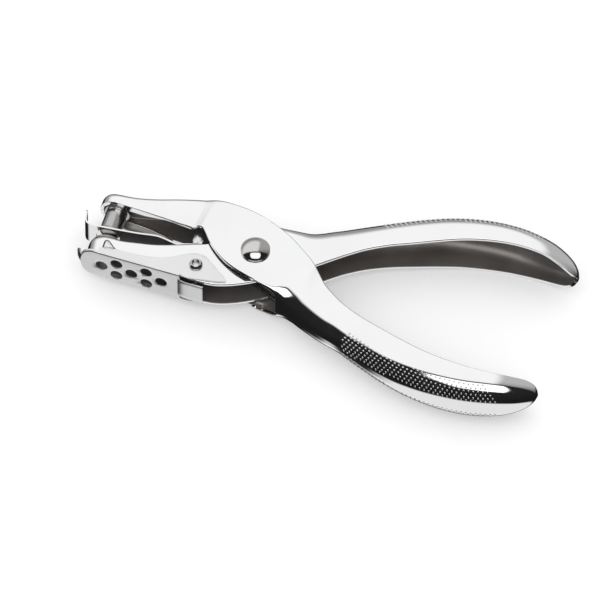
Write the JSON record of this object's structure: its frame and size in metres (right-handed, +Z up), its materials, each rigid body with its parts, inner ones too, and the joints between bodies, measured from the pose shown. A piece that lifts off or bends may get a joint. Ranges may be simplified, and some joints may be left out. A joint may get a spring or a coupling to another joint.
{
  "type": "hand-held single-hole paper punch",
  "caption": "Plier-style single-hole paper punch of pressed bright steel with two curved channel handles, a sprung pivot, a stripper plate and a perforated swing-down chip catcher.",
  "frame": {"origin": "on the pivot axis, in the plane the tool rests on when it lies on its side", "axes": "+Z up along the pivot axis, +X along the tool from the jaws to the handles, +Y towards the punch jaw and the upper handle"},
  "size_m": [0.139, 0.0616, 0.017],
  "materials": {
    "nickel_steel": "bright nickel plate on pressed steel, polished",
    "hard_steel": "ground and hardened tool steel, oiled",
    "strip_steel": "bright plated spring strip",
    "catcher_steel": "satin nickel plate on thin sheet",
    "rivet_steel": "plated rivet, polished by use",
    "spring_steel": "drawn spring wire, oiled"
  },
  "bodies": {
    "die_side": {"die_lever": "nickel_steel", "die_bush": "hard_steel", "stripper_plate": "strip_steel", "stripper_rivets": "rivet_steel", "catcher_eyelets": "rivet_steel", "pivot_rivet": "rivet_steel", "pivot_sleeve": "hard_steel", "front_pivot_washer": "hard_steel", "rear_pivot_washer": "hard_steel", "return_spring": "spring_steel"},
    "punch_side": {"punch_lever": "nickel_steel", "punch_pin": "hard_steel", "punch_collar": "hard_steel"},
    "catcher": {"chip_catcher": "catcher_steel"}
  },
  "joints": [
    {"name": "punch_pivot", "type": "hinge", "parent": "die_side", "child": "punch_side", "pos_m": [0, 0, 0.0077], "axis": [0, 0, 1], "range_deg": [0, 8], "stiffness_Nm_per_rad": 0.5, "springref_deg": -45.84, "deforming": ["return_spring"]},
    {"name": "catcher_hinge", "type": "hinge", "parent": "die_side", "child": "catcher", "pos_m": [-0.01483, -0.00875, 0.0077], "axis": [0, 0, 1], "range_deg": [0, 50]}
  ]
}
